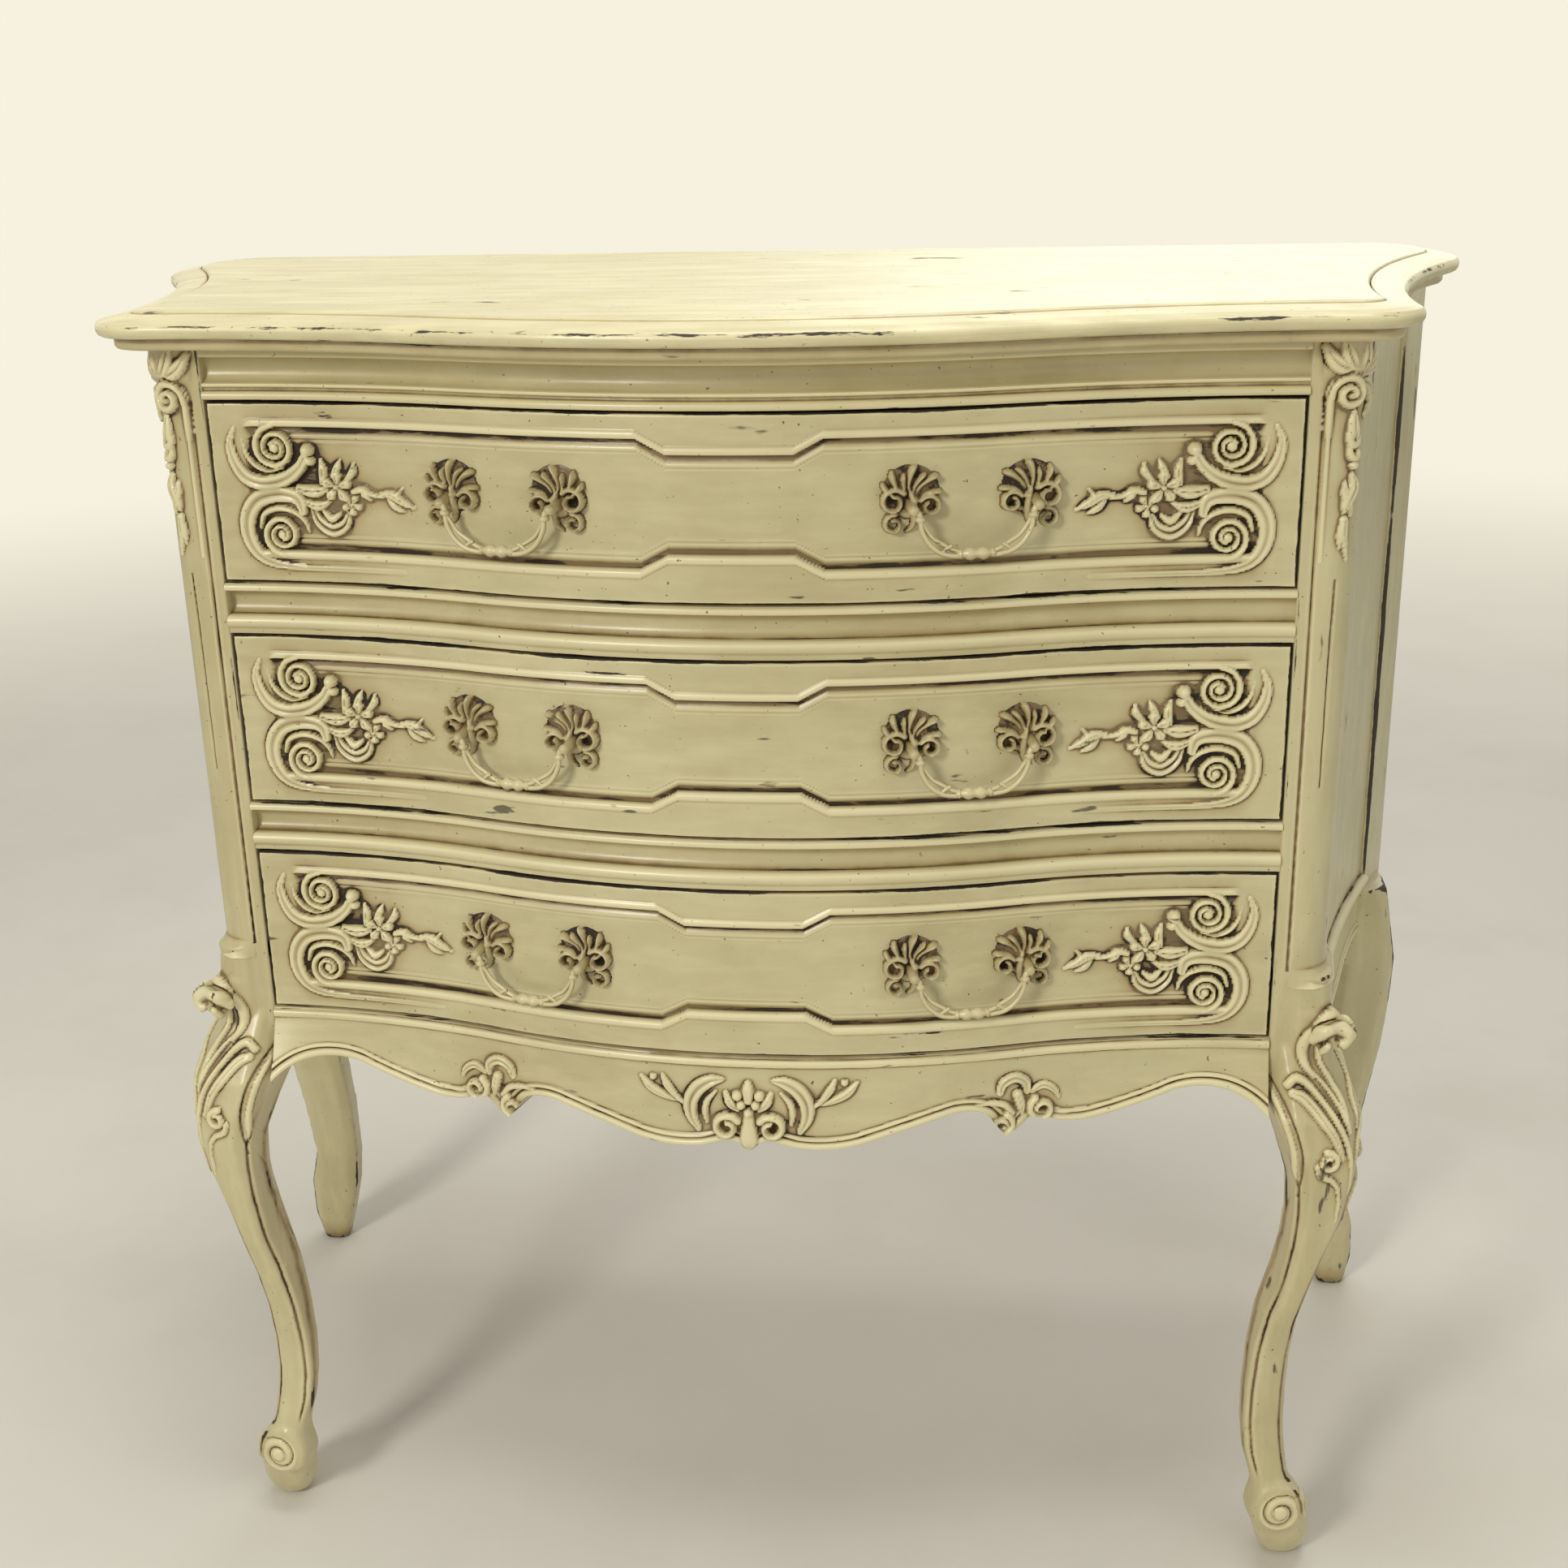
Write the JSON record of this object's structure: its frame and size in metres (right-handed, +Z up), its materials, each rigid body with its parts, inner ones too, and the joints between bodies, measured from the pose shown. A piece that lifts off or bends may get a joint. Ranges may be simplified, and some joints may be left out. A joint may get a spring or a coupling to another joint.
{
  "type": "serpentine chest of drawers",
  "caption": "Small chest of drawers with a bowed serpentine front, moulded top, swinging bail pulls on cast rosettes, scalloped apron and cabriole legs with scroll feet.",
  "frame": {"origin": "middle of the bounding box on the floor", "axes": "+Z up, +X to the right seen from the front, -Y out of the drawer fronts"},
  "size_m": [0.9196, 0.4403, 0.85],
  "materials": {
    "painted_wood": "aged satin paint",
    "bare_wood": "planed, unpolished",
    "pull_metal": "aged satin paint on cast metal",
    "steel": "plain"
  },
  "bodies": {
    "cabinet": {"apron": "painted_wood", "back_panel": "bare_wood", "back_rail_bottom_drawer": "bare_wood", "back_rail_middle_drawer": "bare_wood", "back_rail_top": "bare_wood", "back_rail_top_drawer": "bare_wood", "bottom_rail": "bare_wood", "divider_rail_lower": "painted_wood", "divider_rail_upper": "painted_wood", "drawer_stops": "bare_wood", "frieze_rail": "painted_wood", "kickers": "bare_wood", "leg_back_left": "painted_wood", "leg_back_right": "painted_wood", "leg_front_left": "painted_wood", "leg_front_right": "painted_wood", "runner_left_bottom": "bare_wood", "runner_left_middle": "bare_wood", "runner_left_top": "bare_wood", "runner_right_bottom": "bare_wood", "runner_right_middle": "bare_wood", "runner_right_top": "bare_wood", "side_apron_left": "painted_wood", "side_apron_right": "painted_wood", "side_moulding_left": "painted_wood", "side_moulding_right": "painted_wood", "side_panel_left": "painted_wood", "side_panel_right": "painted_wood", "top": "painted_wood"},
    "drawer_top": {"drawer_top_back": "bare_wood", "drawer_top_bottom": "bare_wood", "drawer_top_front": "painted_wood", "drawer_top_side_left": "bare_wood", "drawer_top_side_right": "bare_wood", "pull_nuts_top": "steel", "pull_plates_top_left": "pull_metal", "pull_plates_top_right": "pull_metal"},
    "drawer_middle": {"drawer_middle_back": "bare_wood", "drawer_middle_bottom": "bare_wood", "drawer_middle_front": "painted_wood", "drawer_middle_side_left": "bare_wood", "drawer_middle_side_right": "bare_wood", "pull_nuts_middle": "steel", "pull_plates_middle_left": "pull_metal", "pull_plates_middle_right": "pull_metal"},
    "drawer_bottom": {"drawer_bottom_back": "bare_wood", "drawer_bottom_bottom": "bare_wood", "drawer_bottom_front": "painted_wood", "drawer_bottom_side_left": "bare_wood", "drawer_bottom_side_right": "bare_wood", "pull_nuts_bottom": "steel", "pull_plates_bottom_left": "pull_metal", "pull_plates_bottom_right": "pull_metal"},
    "bail_top_left": {"bail_top_left": "pull_metal"},
    "bail_top_right": {"bail_top_right": "pull_metal"},
    "bail_middle_left": {"bail_middle_left": "pull_metal"},
    "bail_middle_right": {"bail_middle_right": "pull_metal"},
    "bail_bottom_left": {"bail_bottom_left": "pull_metal"},
    "bail_bottom_right": {"bail_bottom_right": "pull_metal"}
  },
  "joints": [
    {"name": "drawer_top_slide", "type": "slide", "parent": "cabinet", "child": "drawer_top", "axis": [0, -1, 0], "range_m": [0, 0.22]},
    {"name": "drawer_middle_slide", "type": "slide", "parent": "cabinet", "child": "drawer_middle", "axis": [0, -1, 0], "range_m": [0, 0.22]},
    {"name": "drawer_bottom_slide", "type": "slide", "parent": "cabinet", "child": "drawer_bottom", "axis": [0, -1, 0], "range_m": [0, 0.22]},
    {"name": "bail_top_left_swing", "type": "hinge", "parent": "drawer_top", "child": "bail_top_left", "pos_m": [-0.14048, -0.16978, 0.7395], "axis": [-0.9687, 0.2484, 0], "range_deg": [0, 100]},
    {"name": "bail_top_right_swing", "type": "hinge", "parent": "drawer_top", "child": "bail_top_right", "pos_m": [0.14048, -0.16978, 0.7395], "axis": [-0.9687, -0.2484, 0], "range_deg": [0, 100]},
    {"name": "bail_middle_left_swing", "type": "hinge", "parent": "drawer_middle", "child": "bail_middle_left", "pos_m": [-0.14048, -0.16978, 0.594], "axis": [-0.9687, 0.2484, 0], "range_deg": [0, 100]},
    {"name": "bail_middle_right_swing", "type": "hinge", "parent": "drawer_middle", "child": "bail_middle_right", "pos_m": [0.14048, -0.16978, 0.594], "axis": [-0.9687, -0.2484, 0], "range_deg": [0, 100]},
    {"name": "bail_bottom_left_swing", "type": "hinge", "parent": "drawer_bottom", "child": "bail_bottom_left", "pos_m": [-0.14048, -0.16978, 0.4485], "axis": [-0.9687, 0.2484, 0], "range_deg": [0, 100]},
    {"name": "bail_bottom_right_swing", "type": "hinge", "parent": "drawer_bottom", "child": "bail_bottom_right", "pos_m": [0.14048, -0.16978, 0.4485], "axis": [-0.9687, -0.2484, 0], "range_deg": [0, 100]}
  ]
}
